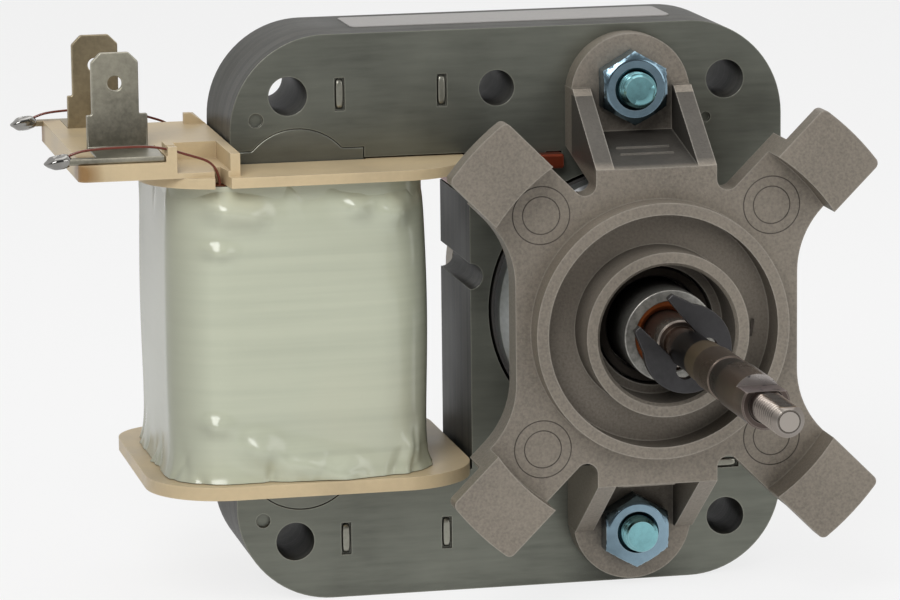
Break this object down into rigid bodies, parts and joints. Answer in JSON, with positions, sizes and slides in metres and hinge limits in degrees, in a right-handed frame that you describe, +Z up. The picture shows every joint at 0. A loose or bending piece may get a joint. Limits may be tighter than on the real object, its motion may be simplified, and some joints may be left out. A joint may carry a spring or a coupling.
{
  "type": "oven fan motor",
  "caption": "Shaded-pole motor with a C-shaped lamination stack, taped coil with blade terminals, die-cast brackets and a long stepped fan shaft with a threaded tip.",
  "frame": {"origin": "centre of the four frame holes, on the front face of the lamination stack", "axes": "-Y along the output shaft towards its tip, +Z up, +X to the right as seen from the shaft end"},
  "size_m": [0.1085, 0.1228, 0.0769],
  "materials": {
    "stack_steel": "satin, fine vertical lines",
    "leg_steel": "satin",
    "ring_copper": "varnished copper",
    "bobbin_plastic": "moulded, cream",
    "winding": "enamelled copper",
    "tape": "glossy wrapped tape",
    "tinned_sheet": "dull tin",
    "solder": "shiny solder",
    "magnet_wire": "enamelled copper",
    "die_cast": "sand-textured casting",
    "sleeve_metal": "turned",
    "bronze": "sintered, oily",
    "felt": "oil-soaked felt",
    "shaft_steel": "tempered brown and blue",
    "rotor_steel": "dark sheet edges",
    "cage_aluminium": "cast",
    "washer": "fibre",
    "black_steel": "black oxide",
    "zinc_steel": "blue zinc",
    "label": "printed paper"
  },
  "bodies": {
    "frame": {"stator_core": "stack_steel", "coil_leg": "leg_steel", "shading_ring_upper_outer": "ring_copper", "shading_ring_upper_inner": "ring_copper", "shading_ring_lower_outer": "ring_copper", "shading_ring_lower_inner": "ring_copper", "bobbin": "bobbin_plastic", "coil_winding": "winding", "coil_tape": "tape", "terminal_front": "tinned_sheet", "terminal_rear": "tinned_sheet", "solder_joints": "solder", "lead_wires": "magnet_wire", "front_bracket": "die_cast", "rear_bracket": "die_cast", "front_bearing_sleeve": "sleeve_metal", "front_bush": "bronze", "front_oil_felt": "felt", "rear_bearing_sleeve": "sleeve_metal", "rear_bush": "bronze", "rear_oil_felt": "felt", "through_bolts": "zinc_steel", "nuts": "zinc_steel", "rating_label": "label"},
    "rotor": {"rotor_shaft": "shaft_steel", "rotor_core": "rotor_steel", "rotor_cage": "cage_aluminium", "front_thrust_washer": "washer", "rear_thrust_washer": "washer", "shaft_clip": "black_steel"}
  },
  "joints": [
    {"name": "rotor_spin", "type": "hinge", "parent": "frame", "child": "rotor", "pos_m": [0.016, 0, 0], "axis": [0, -1, 0], "continuous": true}
  ]
}
